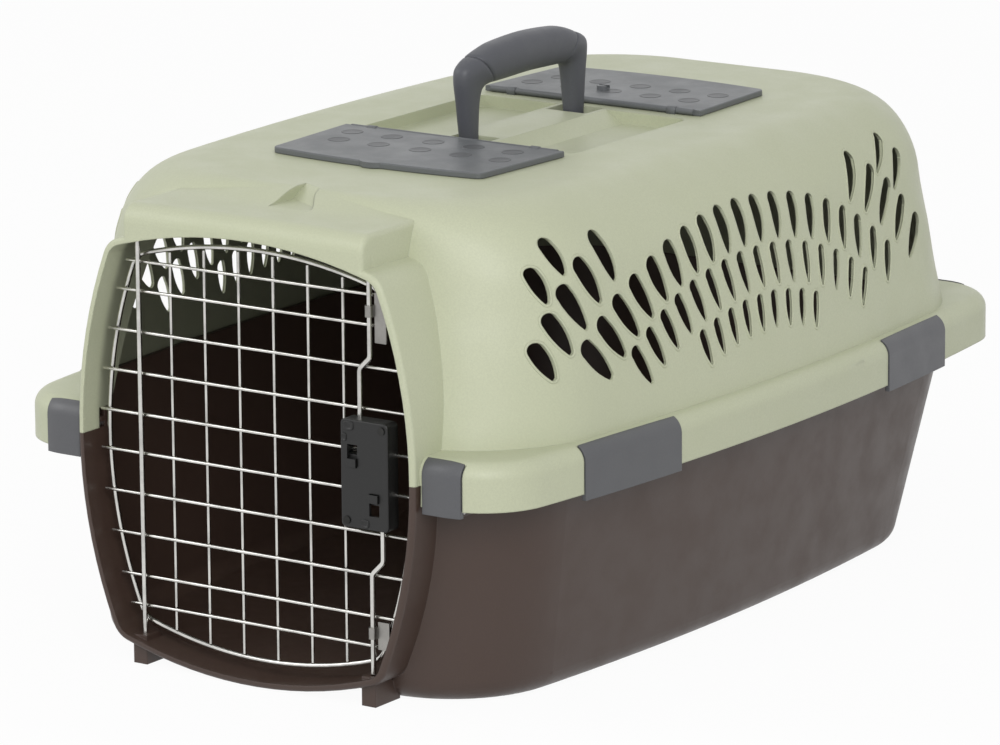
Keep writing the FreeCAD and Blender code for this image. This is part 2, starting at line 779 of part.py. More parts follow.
def upper_shell():
    """The upper moulding: dome, flange, half of the collar, brow, vents, wells and handle pockets."""
    skirt = flange_body(0).cut(box(-flange_half_width, flange_half_width, -flange_half_length, flange_half_length,
                                   latch_foot_z, skirt_bottom_z))
    under = plan_prism(skirt_wall, latch_foot_z, ledge_bottom_z)
    skirt = skirt.cut(under.makeFillet(flange_round - skirt_wall, level_edges(under, ledge_bottom_z)))
    collar = collar_block()
    below_seam = box(-flange_half_width, flange_half_width, -collar_front - overrun, -collar_back + overrun,
                     -overrun, seam_z)
    lower_room = mouth_prism(collar_wall + collar_gap, mouth_corner + collar_wall, collar_front + overrun,
                             collar_skirt_back).common(below_seam)
    dent_room = brow_dent(2 * shell_wall)
    inside = dome(shell_wall, ledge_bottom_z - overrun).cut(dent_room)
    behind_skirt = box(-flange_half_width, flange_half_width, -collar_skirt_back, -collar_back + overrun,
                       seam_z - overrun, ledge_bottom_z)
    upper_collar = collar.cut([below_seam, behind_skirt, inside])
    hollow_brow = brow_block(shell_wall).cut([collar, dent_room])
    body = skirt.fuse([dome(0, ledge_bottom_z), brow_block(0)])
    body = body.cut([inside, lower_room, hollow_brow])
    body = body.fuse(upper_collar)

    additions = panel_supports()
    cutters = panel_cutters() + [brow_dent(0)]
    for end in (1, -1):
        additions.append(well_box(end, well_wall, roof_under_z))
        cutters.append(well_box(end, 0, roof_z + overrun))
        additions.append(pocket_box(end, well_wall, roof_under_z))
        cutters.append(pocket_box(end, 0, roof_z + overrun))
        cutters.append(handle_pin_bore(end))
        additions += lid_lugs(end)
        cutters.append(lid_pin_hole(end, lid_pin_radius + pin_play))
    body = body.fuse(additions)
    cutters.append(mouth_prism(0, mouth_corner, collar_front + overrun, collar_back - shell_wall))
    cutters.append(rod(hole_radius, vec(hinge_rod_x, rod_y, mouth_spring_z),
                       vec(hinge_rod_x, rod_y, mouth_crown_z)))
    cutters.append(rod(hole_radius, vec(latch_rod_x, rod_y, mouth_spring_z),
                       vec(latch_rod_x, rod_y, mouth_crown_z)))
    cutters += latch_rooms()
    body = body.cut(cutters)
    right = vents()
    body = body.cut(right)
    return body.cut([mirrored(cutter) for cutter in right])


def well_box(end, wall, top_z):
    near = end * (well_near - wall)
    far = end * (well_far + wall)
    return box(-well_half_width - wall, well_half_width + wall, min(near, far), max(near, far),
               roof_z - well_depth - wall, top_z)


def pocket_box(end, wall, top_z):
    near = end * (pocket_near - wall)
    far = end * (pocket_far + wall)
    return box(-pocket_half_width - wall, pocket_half_width + wall, min(near, far), max(near, far),
               pocket_floor_z - wall, top_z)


def foot_block(x):
    half = foot_width / 2
    points = [vec(x - half, -foot_front, 0), vec(x - half, -foot_front, foot_top_z),
              vec(x - half, -grid_depth + foot_width / 2, foot_top_z),
              vec(x - half, -foot_back, mouth_sill_z), vec(x - half, -foot_back, 0)]
    return prism(points, vec(foot_width, 0, 0))


def lower_tray():
    """The lower moulding: tub, rim, the lower half of the collar, sill, feet and latch ears."""
    outside = tub(0, 0, ledge_bottom_z)
    inside = tub(tray_wall, tray_wall, ledge_bottom_z + overrun)
    rim = plan_prism(skirt_wall + seat_gap, rim_top_z - rim_thickness, rim_top_z)
    collar = collar_block()
    above_seam = box(-flange_half_width, flange_half_width, -collar_front - overrun, -collar_back + overrun,
                     seam_z, roof_z)
    ears = []
    for name, width, depth, centre, degrees in latch_places():
        ears += [placed(ear, centre, degrees) for ear in latch_ears(width, depth)]
    body = outside.fuse([rim, collar.cut(above_seam)] + ears)
    relief_half = mouth_seam_half_width + collar_wall + overrun
    rim_relief = box(-relief_half, relief_half, -collar_front, -collar_skirt_back + seat_gap,
                     seam_z, ledge_bottom_z + overrun)
    doorway = mouth_prism(0, mouth_corner, collar_front + overrun, collar_back - shell_wall)
    body = body.cut([inside, rim_relief, doorway])
    body = body.fuse([foot_block(hinge_rod_x), foot_block(latch_rod_x)])
    sockets = []
    for x in (hinge_rod_x, latch_rod_x):
        sockets.append(rod(hole_radius, vec(x, rod_y, socket_floor_z), vec(x, rod_y, foot_top_z + overrun)))
    return body.cut(sockets).removeSplitter()


def handle_side(edges, width):
    """The handle's side view pushed to a width, centred on the carrier's middle plane."""
    face = Part.Face(Part.Wire(edges))
    solid = face.extrude(vec(width, 0, 0))
    solid.translate(vec(-width / 2, 0, 0))
    return solid


def handle_outline(drop):
    """The handle's arch in side view, with its top and underside drawn in by a drop."""
    def line(a, b):
        return Part.LineSegment(vec(0, *a), vec(0, *b)).toShape()

    under_z = handle_under_z + drop
    shoulder_z = handle_shoulder_z - drop
    corners = [(-handle_front_shoulder, shoulder_z), (-handle_front_knee, handle_knee_z),
               (-handle_foot_outer, handle_foot_z), (-handle_foot_inner, handle_foot_z),
               (-handle_inner_y, under_z), (handle_inner_y, under_z),
               (handle_foot_inner, handle_foot_z), (handle_foot_outer, handle_foot_z),
               (handle_rear_knee, handle_knee_z), (handle_rear_shoulder, shoulder_z)]
    edges = [line(first, second) for first, second in zip(corners, corners[1:])]
    crown = vec(0, 0, handle_crown_z - drop)
    edges.append(Part.Arc(vec(0, *corners[-1]), crown, vec(0, *corners[0])).toShape())
    return edges


def handle_bail():
    solid = handle_side(handle_outline(grip_wall), handle_leg_width)
    bends = [edge for edge in solid.Edges
             if edge.BoundBox.XLength > handle_leg_width - weld_gap and edge.BoundBox.ZMin > handle_pivot_z]
    solid = solid.makeFillet(handle_edge_round, bends)
    bores = [handle_pin_bore(1), handle_pin_bore(-1)]
    return solid.cut(bores)


def handle_grip(bail):
    """The grip around the handle's bar."""
    solid = handle_side(handle_outline(0), grip_width)
    solid = solid.common(box(-grip_width, grip_width, grip_near, grip_far, handle_pivot_z, handle_crown_z))
    under = solid.common(box(-grip_width, grip_width, grip_near, grip_far, handle_under_z, handle_crown_z))
    long_edges = [edge for edge in under.Edges if edge.BoundBox.YLength > (grip_far - grip_near) / 2]
    return under.makeFillet(grip_round, long_edges).cut(bail)


def grid_heights():
    """Heights of the door's level wires, from the top down."""
    steps = [grid_end_pitch] + [grid_pitch] * 3 + [grid_middle_pitch] + [grid_pitch] * 3 + [grid_end_pitch]
    z = grid_centre_z + sum(steps) / 2
    heights = [z]
    for step in steps:
        z -= step
        heights.append(z)
    return heights


def frame_path():
    """The centre line of the door's frame wire, with rounded corners."""
    block = mouth_prism(-frame_inset, frame_corner, -frame_wire_y, -frame_wire_y - overrun)
    for face in block.Faces:
        bounds = face.BoundBox
        if bounds.YLength < weld_gap and abs(bounds.YMin - frame_wire_y) < weld_gap:
            return face.OuterWire


def frame_wire(path):
    start = path.OrderedEdges[0]
    point = start.valueAt(start.FirstParameter)
    tangent = start.tangentAt(start.FirstParameter)
    ring = Part.Wire(Part.makeCircle(frame_wire_radius, point, tangent))
    return path.makePipeShell([ring], True, True)


def path_crossings(path, line):
    """Where a line meets the frame's centre line."""
    distance, pairs, info = path.distToShape(line)
    return [pair[0] for pair in pairs]


def level_wires(path):
    wires = []
    for z in grid_heights():
        line = Part.LineSegment(vec(0, frame_wire_y, z), vec(flange_half_width, frame_wire_y, z)).toShape()
        reach = max(point.x for point in path_crossings(path, line)) + stub_length + frame_wire_radius
        wires.append(rod(wire_radius, vec(-reach, grid_y, z), vec(reach, grid_y, z)))
    return Part.makeCompound(wires)


def upright_wires(path):
    wires = []
    for index in range(upright_count):
        x = (index - (upright_count - 1) / 2) * grid_pitch
        top = Part.LineSegment(vec(x, frame_wire_y, grid_centre_z), vec(x, frame_wire_y, roof_z)).toShape()
        bottom = Part.LineSegment(vec(x, frame_wire_y, grid_centre_z), vec(x, frame_wire_y, 0)).toShape()
        high = path_crossings(path, top)[0].z - frame_wire_radius - wire_radius / 2
        low = path_crossings(path, bottom)[0].z + frame_wire_radius + wire_radius / 2
        wires.append(rod(wire_radius, vec(x, upright_y, low), vec(x, upright_y, high)))
    return Part.makeCompound(wires)


def arch_height(x):
    """Height of the doorway's arch above a place across the door."""
    rise = mouth_crown_z - mouth_spring_z
    radius = (mouth_spring_half_width ** 2 + rise ** 2) / (2 * rise)
    return mouth_crown_z - radius + math.sqrt(radius ** 2 - x ** 2)


def hinge_rod():
    return rod(rod_radius, vec(hinge_rod_x, rod_y, socket_floor_z + rod_bottom_gap),
               vec(hinge_rod_x, rod_y, arch_height(hinge_rod_x) + rod_top_reach))


def bent_rod(points):
    """A round rod along straight runs joined by tangent arcs."""
    edges = []
    start = points[0]
    for before, corner, after in zip(points, points[1:], points[2:]):
        way_in = (corner - before).normalize()
        way_out = (after - corner).normalize()
        turn = way_in.getAngle(way_out)
        cut = rod_bend * math.tan(turn / 2)
        first = corner - way_in * cut
        last = corner + way_out * cut
        inward = (way_out - way_in).normalize()
        centre = corner + inward * (rod_bend / math.cos(turn / 2))
        middle = centre - inward * rod_bend
        edges.append(Part.LineSegment(start, first).toShape())
        edges.append(Part.Arc(first, middle, last).toShape())
        start = last
    edges.append(Part.LineSegment(start, points[-1]).toShape())
    ring = Part.Wire(Part.makeCircle(rod_radius, points[0], points[1] - points[0]))
    return Part.Wire(edges).makePipeShell([ring], True, True)


def upper_latch_rod():
    tip = arch_height(latch_rod_x + rod_radius) - rod_rest_gap
    drop = abs(latch_rod_x - upper_rod_inner_x) / 2
    points = [vec(latch_rod_x, rod_y, tip), vec(latch_rod_x, rod_y, upper_jog_z + drop),
              vec(upper_rod_inner_x, rod_y, upper_jog_z - drop), vec(upper_rod_inner_x, rod_y, slide_upper_z)]
    return bent_rod(points)


def lower_latch_rod():
    drop = abs(latch_rod_x - lower_rod_inner_x) / 2
    points = [vec(latch_rod_x, rod_y, foot_top_z + rod_rest_gap), vec(latch_rod_x, rod_y, lower_jog_z - drop),
              vec(lower_rod_inner_x, rod_y, lower_jog_z + drop), vec(lower_rod_inner_x, rod_y, slide_lower_z)]
    return bent_rod(points)


def housing_front_y():
    return grid_face_y - weld_gap - housing_depth


def slide_block(x, z, way):
    """One finger slide: a block on the end of its rod, with a finger that stands out of the housing."""
    half_height = slide_height / 2
    back_y = grid_face_y - rod_gap
    front_y = housing_front_y() + housing_wall + slide_gap
    ends = (x - way * slide_outboard, x + way * slide_inboard)
    block = box(min(ends), max(ends), front_y, back_y, z - half_height, z + half_height)
    finger = box(x - finger_width / 2, x + finger_width / 2, housing_front_y() - finger_proud, front_y,
                 z - finger_height / 2, z + finger_height / 2)
    solid = block.fuse(finger)
    return solid.cut(rod(rod_radius, vec(x, rod_y, z), vec(x, rod_y, z + way * slide_height)))


def latch_housing():
    """The black box on the door: a front, four sides, two finger slots and holes for the rods."""
    front_y = housing_front_y()
    back_y = grid_face_y - weld_gap
    block = box(housing_left, housing_right, front_y, back_y, housing_bottom_z, housing_top_z)
    block = block.makeFillet(housing_round, depth_edges(block))
    front = [edge for edge in block.Edges if edge.BoundBox.YMax < front_y + weld_gap]
    block = block.makeFillet(housing_wall / 2, front)
    inside = box(housing_left + housing_wall, housing_right - housing_wall, front_y + housing_wall,
                 back_y + overrun, housing_bottom_z + housing_wall, housing_top_z - housing_wall)
    cuts = [inside]
    for x, z, way in ((upper_rod_inner_x, slide_upper_z, 1), (lower_rod_inner_x, slide_lower_z, -1)):
        half_width = finger_width / 2 + slide_gap
        reach = finger_height / 2 + slide_gap
        ends = (z - way * reach, z + way * (reach + rod_travel))
        cuts.append(box(x - half_width, x + half_width, front_y - overrun, front_y + housing_wall + overrun,
                        min(ends), max(ends)))
        exit_z = housing_top_z if way > 0 else housing_bottom_z
        cuts.append(rod(hole_radius + pin_play, vec(x, rod_y, exit_z - housing_wall - overrun),
                        vec(x, rod_y, exit_z + housing_wall + overrun)))
    for x, z in rivet_places():
        cuts.append(rod(rivet_radius + pin_play, vec(x, front_y - overrun, z), vec(x, back_y, z)))
    return block.cut(cuts)


def rivet_places():
    """Two rivets at the corners that the slides don't use."""
    return [(housing_right - rivet_inset, housing_top_z - rivet_inset),
            (housing_left + rivet_inset, housing_bottom_z + rivet_inset)]


def housing_rivets():
    front_y = housing_front_y()
    back_y = grid_face_y - weld_gap
    rivets = []
    for x, z in rivet_places():
        shank = rod(rivet_radius, vec(x, front_y, z), vec(x, back_y, z))
        head = rod(rivet_head_radius, vec(x, front_y - rivet_head_height, z), vec(x, front_y, z))
        rivets.append(shank.fuse(head))
    return Part.makeCompound(rivets)


def latch_spring():
    """The compression spring between the two slides, as a plain sleeve."""
    x = (upper_rod_inner_x + lower_rod_inner_x) / 2
    bottom = slide_lower_z + slide_height / 2 + slide_gap
    top = slide_upper_z - slide_height / 2 - slide_gap
    outer = rod(spring_radius, vec(x, rod_y, bottom), vec(x, rod_y, top))
    inner = rod(spring_radius - spring_wall, vec(x, rod_y, bottom), vec(x, rod_y, top))
    return outer.cut(inner)


def rod_guide(bottom_z, top_z, loop_z):
    """A sheet guide beside a latch rod, with a loop around it."""
    back_y = grid_face_y - weld_gap
    plate = box(guide_left, guide_right, back_y - guide_sheet, back_y, bottom_z, top_z)
    low = loop_z - guide_loop_height / 2
    loop_radius = hole_radius + guide_loop_wall
    loop = Part.makeCylinder(loop_radius, guide_loop_height, vec(latch_rod_x, rod_y, low))
    arm = box(latch_rod_x, guide_left, back_y - guide_sheet, back_y, low, low + guide_loop_height)
    bore = Part.makeCylinder(hole_radius, guide_loop_height, vec(latch_rod_x, rod_y, low))
    return plate.fuse([loop, arm]).cut(bore).removeSplitter()


os.makedirs("parts", exist_ok=True)

save("upper_shell", upper_shell())
save("lower_tray", lower_tray())

latch_skin = flange_body(latch_proud).cut(flange_body(latch_proud - latch_thickness))
pins = []
for latch_name, latch_width, ear_depth, latch_centre, latch_degrees in latch_places():
    save(latch_name, latch_plate(latch_width, latch_centre, latch_degrees, latch_skin))
    pins.append(placed(latch_pin(latch_width), latch_centre, latch_degrees))
save("shell_latch_pins", Part.makeCompound(pins))

save("front_lid", lid(-1))
save("rear_lid", lid(1))
save("front_lid_pin", lid_pin_hole(-1, lid_pin_radius))
save("rear_lid_pin", lid_pin_hole(1, lid_pin_radius))

bail = handle_bail()
save("handle_bail", bail)
save("handle_grip", handle_grip(bail))
save("handle_pins", Part.makeCompound([handle_pin(1), handle_pin(-1)]))

door_path = frame_path()
save("door_frame_wire", frame_wire(door_path))
save("door_level_wires", level_wires(door_path))
save("door_upright_wires", upright_wires(door_path))
save("door_hinge_rod", hinge_rod())
save("latch_housing", latch_housing())
save("housing_rivets", housing_rivets())
save("latch_spring", latch_spring())
save("upper_rod_guide", rod_guide(guide_upper_bottom_z, guide_upper_top_z, guide_loop_upper_z))
save("lower_rod_guide", rod_guide(guide_lower_bottom_z, guide_lower_top_z, guide_loop_lower_z))
save("upper_latch_rod", upper_latch_rod())
save("lower_latch_rod", lower_latch_rod())
save("upper_finger_slide", slide_block(upper_rod_inner_x, slide_upper_z, 1))
save("lower_finger_slide", slide_block(lower_rod_inner_x, slide_lower_z, -1))
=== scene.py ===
"""Pet carrier with a wire door: finishes, moulded detail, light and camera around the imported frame."""
import json
import math

import bmesh
import bpy
from mathutils import Matrix, Vector
from mathutils.bvhtree import BVHTree

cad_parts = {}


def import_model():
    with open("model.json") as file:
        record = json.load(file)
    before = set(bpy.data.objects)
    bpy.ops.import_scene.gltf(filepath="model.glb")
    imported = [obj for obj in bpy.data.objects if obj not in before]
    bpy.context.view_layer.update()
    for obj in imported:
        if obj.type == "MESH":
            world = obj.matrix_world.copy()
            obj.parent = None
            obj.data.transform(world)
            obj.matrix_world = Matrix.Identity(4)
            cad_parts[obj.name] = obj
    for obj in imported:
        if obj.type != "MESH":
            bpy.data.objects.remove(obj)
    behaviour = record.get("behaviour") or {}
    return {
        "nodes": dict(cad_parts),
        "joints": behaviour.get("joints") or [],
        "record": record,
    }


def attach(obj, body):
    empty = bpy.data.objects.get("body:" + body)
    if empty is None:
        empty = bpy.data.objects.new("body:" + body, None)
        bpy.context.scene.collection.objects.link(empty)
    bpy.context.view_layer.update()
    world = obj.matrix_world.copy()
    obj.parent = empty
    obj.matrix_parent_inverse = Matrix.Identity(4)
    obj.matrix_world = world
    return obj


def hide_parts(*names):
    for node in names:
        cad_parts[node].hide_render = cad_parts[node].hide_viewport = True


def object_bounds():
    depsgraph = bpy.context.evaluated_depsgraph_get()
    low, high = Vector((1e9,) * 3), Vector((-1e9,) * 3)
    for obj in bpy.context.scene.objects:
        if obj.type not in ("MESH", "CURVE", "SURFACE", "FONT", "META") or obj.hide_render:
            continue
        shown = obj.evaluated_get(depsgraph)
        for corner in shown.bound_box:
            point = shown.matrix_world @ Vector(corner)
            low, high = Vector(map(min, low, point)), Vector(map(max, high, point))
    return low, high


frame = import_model()
cad_box = [list(corner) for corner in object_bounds()]
nodes = frame["nodes"]

joint_places = {row["name"]: row["pos_m"] for row in frame["joints"] if row.get("pos_m")}

MM = 0.001
# The handle's pivot stands over the flange's middle, so many millimetres along Y from the origin.
FRAME_SHIFT = joint_places["handle_swing"][1] / MM
DOWN = Vector((0.0, 0.0, -1.0))
BACKWARDS = Vector((0.0, 1.0, 0.0))


def place(x, y, z):
    """A point of the carrier in metres, from millimetres in the flange-centred frame."""
    return Vector((x * MM, (y + FRAME_SHIFT) * MM, z * MM))


def pivot_of(joint_name):
    """A joint's place in millimetres in the flange-centred frame."""
    x, y, z = joint_places[joint_name]
    return x / MM, y / MM - FRAME_SHIFT, z / MM


# Node trees

def add(tree, kind, inputs=None, **settings):
    """A node with its settings, and with each named input set or linked."""
    node = tree.nodes.new(kind)
    for name, value in settings.items():
        setattr(node, name, value)
    for name, value in (inputs or {}).items():
        socket = node.inputs[name]
        if isinstance(value, bpy.types.NodeSocket):
            tree.links.new(value, socket)
        else:
            socket.default_value = value
    return node


def maths(tree, operation, first, second=0.0, clamp=False):
    node = add(tree, "ShaderNodeMath", {0: first, 1: second}, operation=operation, use_clamp=clamp)
    return node.outputs[0]


def spread(tree, value, low, high, to_low, to_high):
    """value from low..high taken to to_low..to_high, smooth at both ends."""
    node = add(tree, "ShaderNodeMapRange",
               {"Value": value, "From Min": low, "From Max": high, "To Min": to_low, "To Max": to_high},
               interpolation_type="SMOOTHSTEP")
    return node.outputs["Result"]


def noise(tree, vector, scale, detail=2.0, roughness=0.5):
    node = add(tree, "ShaderNodeTexNoise",
               {"Vector": vector, "Scale": scale, "Detail": detail, "Roughness": roughness})
    return node.outputs["Fac"]


def mix(tree, factor, first, second, blend="MIX"):
    node = add(tree, "ShaderNodeMix", {0: factor, 6: first, 7: second}, data_type="RGBA", blend_type=blend)
    return node.outputs[2]


def tint(colour, share):
    return (colour[0] * share, colour[1] * share, colour[2] * share, 1.0)


def start_material(name):
    material = bpy.data.materials.new(name)
    material.use_nodes = True
    tree = material.node_tree
    tree.nodes.clear()
    output = add(tree, "ShaderNodeOutputMaterial")
    shader = add(tree, "ShaderNodeBsdfPrincipled")
    tree.links.new(shader.outputs[0], output.inputs["Surface"])
    coords = add(tree, "ShaderNodeTexCoord")
    return material, tree, shader, coords


# Noises of moulded plastic: waves per metre, detail and roughness. Scratches are stretched first.
FLECKS = (900.0, 3.0, 0.6)
CLOUDS = (7.0, 3.0, 0.55)
PATCHES = (42.0, 4.0, 0.6)
SCRATCH_STRETCH = (420.0, 36.0, 160.0)
SCRATCHES = (1.0, 2.0, 0.5)
PITS = (1500.0, 2.0, 0.5)
WAVES = (24.0, 1.0, 0.4)
# Where an effect starts and where it is full, on its noise or on the cosine of the bend at an edge.
FLECK_RAMP = (0.3, 0.7)
CLOUD_RAMP = (0.3, 0.7)
EDGE_RAMP = (0.985, 0.86)
RUB_RAMP = (0.38, 0.66)
SCRATCH_RAMP = (0.7, 0.78)
SCUFF_RAMP = (0.55, 0.7)
GLOSS_RAMP = (0.25, 0.75)
CLOUD_TONE = (0.95, 0.96, 0.92)
CLOUD_MOST = 0.5
RUB_GAIN = 1.25
RUB_LIFT = 0.02
SCUFF_MOST = 0.35
SCUFF_DULLING = 0.2
SCUFF_DEPTH = 0.8
GLOSSIER = 0.06
DULLER = 0.07
WAVE_SHARE = 6.0
GRAIN_DISTANCE = 0.0004
EDGE_SAMPLES = 4
PLASTIC_IOR = 1.48
# A face looks inwards where its normal points at this centre, behind the doorway's front, in metres. Such
# faces get painted shade on the shell and painted light on the tray.
SHELL_CENTRE = (0.0, 0.0, 0.14)
INWARD_LOOK = (-0.10, -0.125)
DOORWAY_FRONT = (-0.284, -0.276)


def rubbed_tone(colour):
    """The paler tone of a rubbed or scuffed spot."""
    return tuple(min(1.0, part * RUB_GAIN + RUB_LIFT) for part in colour)


def plastic(name, colour, roughness, grain=0.12, speckle=0.04, edge=1.2, wear=0.25, painted_interior_share=None):
    """A moulded plastic: fine grain, faint speckle, uneven gloss, rubbed edges and a few scuffs.
    The last argument, if given, is the share of the colour painted on faces looking into the carrier:
    painted shade below 1, painted light above 1."""
    material, tree, shader, coords = start_material(name)
    point = coords.outputs["Object"]
    soft = add(tree, "ShaderNodeBevel", {"Radius": edge * MM}, samples=EDGE_SAMPLES)
    geometry = add(tree, "ShaderNodeNewGeometry")

    flecks = noise(tree, point, *FLECKS)
    clouds = noise(tree, point, *CLOUDS)
    patches = noise(tree, point, *PATCHES)
    stretched = add(tree, "ShaderNodeMapping", {"Vector": point, "Scale": SCRATCH_STRETCH}).outputs[0]
    scratches = noise(tree, stretched, *SCRATCHES)

    tone = mix(tree, spread(tree, flecks, *FLECK_RAMP, 0.0, 1.0), tint(colour, 1.0 - speckle),
               tint(colour, 1.0 + speckle))
    tone = mix(tree, spread(tree, clouds, *CLOUD_RAMP, 0.0, CLOUD_MOST), tone,
               tint([part * share for part, share in zip(colour, CLOUD_TONE)], 1.0))

    facing = add(tree, "ShaderNodeVectorMath", {0: soft.outputs[0], 1: geometry.outputs["Normal"]},
                 operation="DOT_PRODUCT").outputs["Value"]
    edges = spread(tree, facing, *EDGE_RAMP, 0.0, 1.0)
    rubbed = maths(tree, "MULTIPLY", edges, spread(tree, patches, *RUB_RAMP, 0.0, wear))
    pale = tint(rubbed_tone(colour), 1.0)
    tone = mix(tree, rubbed, tone, pale)
    scuffs = maths(tree, "MULTIPLY", spread(tree, scratches, *SCRATCH_RAMP, 0.0, 1.0),
                   spread(tree, patches, *SCUFF_RAMP, 0.0, SCUFF_MOST))
    tone = mix(tree, scuffs, tone, pale)
    # Faces looking into the carrier behind the doorway's front: painted shade when the share is below 1,
    # painted light when it is above 1.
    if painted_interior_share is not None:
        away = add(tree, "ShaderNodeVectorMath", {0: point, 1: SHELL_CENTRE},
                   operation="SUBTRACT").outputs[0]
        look = add(tree, "ShaderNodeVectorMath", {0: away, 1: coords.outputs["Normal"]},
                   operation="DOT_PRODUCT").outputs["Value"]
        behind = spread(tree, add(tree, "ShaderNodeSeparateXYZ", {0: point}).outputs["Y"],
                        *DOORWAY_FRONT, 0.0, 1.0)
        painted_interior_mask = maths(tree, "MULTIPLY", spread(tree, look, *INWARD_LOOK, 0.0, 1.0), behind)
        tone = mix(tree, painted_interior_mask, tone, tint(colour, painted_interior_share))
    tree.links.new(tone, shader.inputs["Base Color"])

    gloss = spread(tree, patches, *GLOSS_RAMP, roughness - GLOSSIER, roughness + DULLER)
    gloss = maths(tree, "ADD", gloss, maths(tree, "MULTIPLY", scuffs, SCUFF_DULLING), True)
    tree.links.new(gloss, shader.inputs["Roughness"])
    shader.inputs["IOR"].default_value = PLASTIC_IOR

    pits = noise(tree, point, *PITS)
    waves = noise(tree, point, *WAVES)
    height = maths(tree, "ADD", pits, maths(tree, "MULTIPLY", waves, WAVE_SHARE))
    height = maths(tree, "SUBTRACT", height, maths(tree, "MULTIPLY", scuffs, SCUFF_DEPTH))
    bump = add(tree, "ShaderNodeBump", {"Strength": grain, "Distance": GRAIN_DISTANCE, "Height": height,
                                        "Normal": soft.outputs[0]})
    tree.links.new(bump.outputs[0], shader.inputs["Normal"])
    return material


# Noises of bare metal: waves per metre, detail and roughness.
DULL_PATCHES = (60.0, 4.0, 0.6)
DRAWN_LINES = (1800.0, 2.0, 0.5)
DULL_RAMP = (0.35, 0.75)
DULL_SHARE = 0.72
METAL_DULLER = 0.16
LINE_DISTANCE = 0.0001


def metal(name, colour, roughness, drawn=0.1):
    """A plated wire or pressed sheet: drawn lines and dull, darker patches."""
    material, tree, shader, coords = start_material(name)
    point = coords.outputs["Object"]
    patches = noise(tree, point, *DULL_PATCHES)
    lines = noise(tree, point, *DRAWN_LINES)
    dull = spread(tree, patches, *DULL_RAMP, 0.0, 1.0)
    tone = mix(tree, dull, tint(colour, 1.0), tint(colour, DULL_SHARE))
    tree.links.new(tone, shader.inputs["Base Color"])
    shader.inputs["Metallic"].default_value = 1.0
    gloss = spread(tree, patches, *GLOSS_RAMP, roughness, roughness + METAL_DULLER)
    tree.links.new(gloss, shader.inputs["Roughness"])
    bump = add(tree, "ShaderNodeBump", {"Strength": drawn, "Distance": LINE_DISTANCE, "Height": lines})
    tree.links.new(bump.outputs[0], shader.inputs["Normal"])
    return material


# Painted shade on the sage shell's inner faces (0.55 of the colour); painted light on the brown tray's inner
# faces (1.25 of the colour).
sage = plastic("sage_plastic", (0.503, 0.528, 0.380), 0.44, painted_interior_share=0.55)
brown = plastic("brown_plastic", (0.056, 0.034, 0.026), 0.42, painted_interior_share=1.25, wear=0.18)
slate = plastic("slate_plastic", (0.094, 0.096, 0.104), 0.40, edge=0.8)
pale_slate = plastic("lid_plastic", (0.122, 0.129, 0.137), 0.42, edge=0.6)
dark_slate = plastic("dot_plastic", (0.080, 0.084, 0.090), 0.46, edge=0.3)
handle_slate = plastic("handle_plastic", (0.078, 0.081, 0.095), 0.46, edge=0.8)
black = plastic("black_plastic", (0.007, 0.007, 0.007), 0.38, edge=0.6)
chrome = metal("chrome_wire", (0.66, 0.65, 0.62), 0.08, drawn=0.05)
steel = metal("steel_pins", (0.50, 0.49, 0.47), 0.28)
pressed = metal("pressed_sheet", (0.34, 0.33, 0.31), 0.24, drawn=0.2)
blackened = metal("blackened_rivets", (0.05, 0.05, 0.048), 0.36)
finishes = {"sage_shell": sage, "brown_tray": brown, "slate_plastic": slate, "black_plastic": black,
            "chrome_wire": chrome, "steel_pins": steel}
slots = {row["node"]: row["material_slot"] for row in frame["record"]["subparts"]}


def dress(obj, material):
    obj.data.materials.clear()
    obj.data.materials.append(material)


for node_name, obj in nodes.items():
    dress(obj, finishes[slots[node_name]])
for node_name in ("front_lid", "rear_lid"):
    dress(nodes[node_name], pale_slate)
for node_name in ("upper_rod_guide", "lower_rod_guide"):
    dress(nodes[node_name], pressed)
dress(nodes["housing_rivets"], blackened)


# Pieces

def piece(name, points, faces, material, body):
    """A smooth closed mesh that moves with a body of the frame."""
    mesh = bpy.data.meshes.new(name)
    mesh.from_pydata(points, [], faces)
    tidy = bmesh.new()
    tidy.from_mesh(mesh)
    bmesh.ops.recalc_face_normals(tidy, faces=tidy.faces)
    tidy.to_mesh(mesh)
    tidy.free()
    mesh.shade_smooth()
    obj = bpy.data.objects.new(name, mesh)
    bpy.context.scene.collection.objects.link(obj)
    dress(obj, material)
    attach(obj, body)
    return obj


class Mesh:
    """Points and faces gathered from several lofts into one piece."""

    def __init__(self):
        self.points = []
        self.faces = []

    def loft(self, rings, closed=False):
        """Skins rings of equal count. Open ends get caps; a closed loft joins its last ring to its first."""
        start = len(self.points)
        count = len(rings[0])
        for ring in rings:
            self.points.extend(ring)
        spans = len(rings) if closed else len(rings) - 1
        for row in range(spans):
            low = start + row * count
            high = start + (row + 1) % len(rings) * count
            for column in range(count):
                after = (column + 1) % count
                self.faces.append((low + column, low + after, high + after, high + column))
        if not closed:
            last = start + (len(rings) - 1) * count
            self.faces.append(tuple(start + column for column in reversed(range(count))))
            self.faces.append(tuple(last + column for column in range(count)))


# The squareness at which a rounded ring is an ellipse.
ROUND = 2.0


def power(value, exponent):
    return math.copysign(abs(value) ** exponent, value)


def rounded_ring(centre, across, along, squareness, count):
    """A ring between an ellipse and a rectangle, about centre, with half axes across and along."""
    ring = []
    for step in range(count):
        turn = 2.0 * math.pi * step / count
        ring.append(centre + across * power(math.cos(turn), ROUND / squareness)
                    + along * power(math.sin(turn), ROUND / squareness))
    return ring


# Handle

